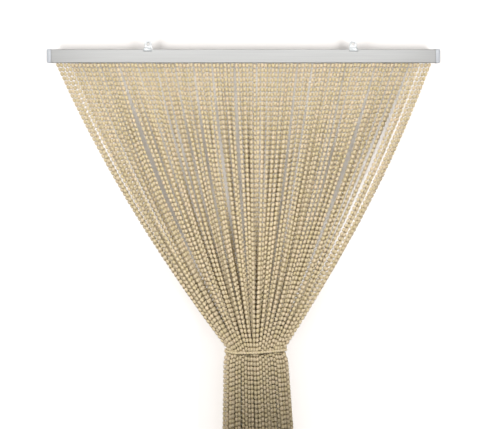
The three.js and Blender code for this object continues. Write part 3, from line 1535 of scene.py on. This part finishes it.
@dataclass(frozen=True, kw_only=True)
class SoftSpot(Lamp):
    """A round lamp with an even beam that fades at its edge."""

    radius: float = 220.0
    cone: float = 31.0
    blend: float = 0.5

    KIND: ClassVar[str] = "SPOT"

    def form(self) -> dict[str, Any]:
        """Gives the round lamp and its cone."""
        cone = {"spot_size": math.radians(self.cone), "spot_blend": self.blend}
        return {"shadow_soft_size": self.radius * MM, **cone}


@dataclass(frozen=True, kw_only=True)
class Daylight(Lamp):
    """Even light from a wide patch of sky, with the patch's spread in degrees."""

    spread: float

    KIND: ClassVar[str] = "SUN"

    def form(self) -> dict[str, Any]:
        """Gives the width of the patch."""
        return {"angle": math.radians(self.spread)}


@dataclass(frozen=True)
class Studio:
    """Pale floor, white wall, soft lights and the camera at the photograph's angle."""

    lights: tuple[Lamp, ...]
    floor_gap: float = 12.0
    floor_reach: float = 7000.0
    wall_gap: float = 30.0
    wall_reach: float = 1500.0
    wall_top: float = 700.0
    wall_colour: str = "#c4c1bf"
    sky_colour: str = "#ffecd2"
    sky_strength: float = 0.02
    backdrop_colour: str = "#ffffff"
    backdrop_strength: float = 1.0
    camera_place: Point = (15.0, -2518.0, -110.0)
    camera_pitch: float = 5.7
    focal_pixels: float = 1083.0
    image_width: int = 500
    sensor: float = 36.0

    def build_camera(self) -> None:
        """Sets the camera."""
        data = bpy.data.cameras.new("photo_camera")
        data.sensor_fit = "HORIZONTAL"
        data.sensor_width = self.sensor
        data.lens = self.sensor * self.focal_pixels / self.image_width
        camera = bpy.data.objects.new("photo_camera", data)
        camera.location = Vector(self.camera_place) * MM
        camera.rotation_euler = (math.radians(90 - self.camera_pitch), 0, 0)
        bpy.context.scene.collection.objects.link(camera)
        bpy.context.scene.camera = camera

    def build_floor(self, height: float) -> None:
        """Lays the floor.

        Args:
            height: Its height in millimetres.
        """
        reach = self.floor_reach
        square = ((-reach, -reach), (reach, -reach), (reach, reach), (-reach, reach))
        floor = new_object(Lit.FLOOR.value, [(x, y, height) for x, y in square], [(0, 1, 2, 3)])
        floor.data.materials.append(FLOOR_FINISH.material())
        floor.visible_diffuse = False

    def wall_paint(self) -> Material:
        """Makes the white paint of the wall, which is clear from behind.

        Returns:
            The material.
        """
        made = bpy.data.materials.new("white_wall_paint")
        made.use_nodes = True
        tree = made.node_tree
        add = partial(add_node, tree)
        paint = add("ShaderNodeBsdfDiffuse", {"Color": linear(self.wall_colour)})
        clear = add("ShaderNodeBsdfTransparent")
        side = add("ShaderNodeNewGeometry")
        mixed = add(
            "ShaderNodeMixShader",
            {"Fac": (side, "Backfacing"), "Shader": (paint, "BSDF"), "Shader_001": (clear, "BSDF")},
        )
        tree.links.new(mixed.outputs["Shader"], tree.nodes["Material Output"].inputs["Surface"])
        return made

    def build_wall(self, foot: float) -> None:
        """Puts up the wall behind the rail, seen from the front alone and letting light through.

        Args:
            foot: Height of its foot in millimetres.
        """
        reach, top = self.wall_reach, self.wall_top
        front = ((-reach, foot), (reach, foot), (reach, top), (-reach, top))
        wall = new_object(Lit.WALL.value, [(x, self.wall_gap, z) for x, z in front], [(0, 1, 2, 3)])
        wall.data.materials.append(self.wall_paint())
        wall.visible_diffuse = False
        wall.visible_glossy = False
        wall.visible_transmission = False
        wall.visible_shadow = False

    def build_sky(self) -> None:
        """Fills the room with soft light and leaves the backdrop white."""
        world = bpy.data.worlds.new("studio_sky")
        world.use_nodes = True
        tree = world.node_tree
        add = partial(add_node, tree)
        glow = tree.nodes["Background"]
        glow.inputs["Color"].default_value = linear(self.sky_colour)
        glow.inputs["Strength"].default_value = self.sky_strength
        white = add(
            "ShaderNodeBackground",
            {"Color": linear(self.backdrop_colour), "Strength": self.backdrop_strength},
        )
        path = add("ShaderNodeLightPath")
        mixed = add(
            "ShaderNodeMixShader",
            {
                "Fac": (path, "Is Camera Ray"),
                "Shader": (glow, "Background"),
                "Shader_001": (white, "Background"),
            },
        )
        tree.links.new(mixed.outputs["Shader"], tree.nodes["World Output"].inputs["Surface"])
        bpy.context.scene.world = world

    def build(self) -> None:
        """Builds the whole stage."""
        low, _ = CAD_BOX
        floor_height = low.z / MM - self.floor_gap
        self.build_camera()
        self.build_floor(floor_height)
        self.build_wall(floor_height)
        self.build_sky()
        for light in self.lights:
            light.build()
        bpy.context.scene.view_settings.view_transform = "Standard"
        LOG.info("stage: floor at %.0f mm, %d lights", floor_height, len(self.lights))


STUDIO_LIGHTS = (
    SoftSpot("key_left", (-600, -2450, 450), (0, 0, -195), 255),
    SoftSpot("key_right", (600, -2450, 450), (0, 0, -195), 255),
    SoftBox("low", (0, -2300, -1900), (0, 0, -1900), 2, width=1200, height=1200, spread=70),
    SoftSpot("tail", (-300, -2450, -1550), (0, 0, -1550), 200, cone=28),
    SoftBox("side_left", (-2600, 500, -900), (0, -40, -900), 40, width=800, height=2200),
    SoftBox("side_right", (2600, 500, -900), (0, -40, -900), 40, width=800, height=2200),
    SoftBox("behind", (-500, 2300, -300), (0, 0, -1000), 60, width=1800, height=1800),
    SoftBox("wall_front", (0, -3000, 200), (0, 0, 200), 66, Lit.WALL, width=3200, height=2200),
    SoftBox("wall_left", (-1400, -1500, -650), (-150, 0, -650), 84, Lit.WALL, width=600, height=2200),
    SoftBox("wall_right", (1400, -1500, -650), (150, 0, -650), 84, Lit.WALL, width=600, height=2200),
    Daylight("floor_light", (0, -500, 3000), (0, 0, 0), 3.0, Lit.FLOOR, spread=60),
)


def main() -> None:
    """Builds the rail with its fittings, the bead curtain with its tie, and the stage."""
    logging.basicConfig(level=logging.INFO, format="%(message)s")
    rail = Rail()
    rail.build()
    cap_finish = CAP_FINISH.material()
    for side in Side:
        EndCap(rail, side).build(cap_finish)
    hanger_finish = HANGER_FINISH.material()
    for side in Side:
        Hanger(rail, side).build(hanger_finish)
    row = StrandRow(rail)
    beading = Beading(
        bead_tree=BeadTree(),
        thread_tree=ThreadTree(),
        bead=BeadForm().build(),
        bead_finish=BEAD_FINISH.material(),
        thread_finish=THREAD_FINISH.material(),
    )
    curtain = BeadCurtain(row)
    curtain.build(beading)
    curtain.build_header(beading.thread_finish)
    BeadTie(row).build(beading)
    bpy.data.objects.remove(beading.bead)
    Studio(STUDIO_LIGHTS).build()


if __name__ == "__main__":
    main()
